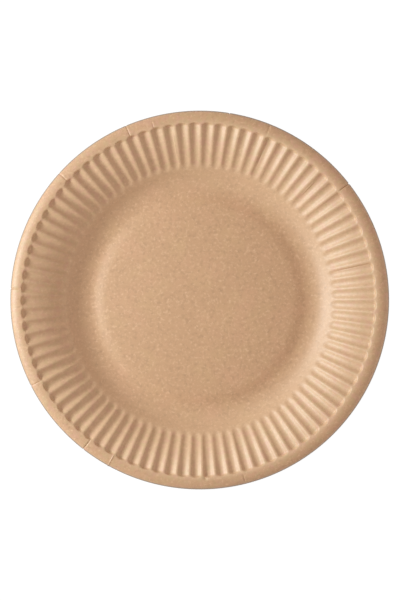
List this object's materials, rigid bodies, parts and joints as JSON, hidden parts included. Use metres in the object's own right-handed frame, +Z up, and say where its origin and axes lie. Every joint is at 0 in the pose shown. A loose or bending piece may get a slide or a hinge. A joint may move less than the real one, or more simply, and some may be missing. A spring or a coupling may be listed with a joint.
{
  "type": "paper plate",
  "caption": "Round kraft paper plate with a domed floor on a narrow foot ring, a fluted wall and flange, and a rolled-down lip.",
  "frame": {"origin": "middle of the foot ring, on the surface that the plate stands on", "axes": "+Z up, along the plate's round axis, out of the face that holds food; +X through the crest between two flutes"},
  "size_m": [0.2301, 0.2302, 0.0192],
  "materials": {
    "kraft_board": "uncoated kraft board, matt"
  },
  "bodies": {
    "root": {"plate": "kraft_board"}
  },
  "joints": []
}
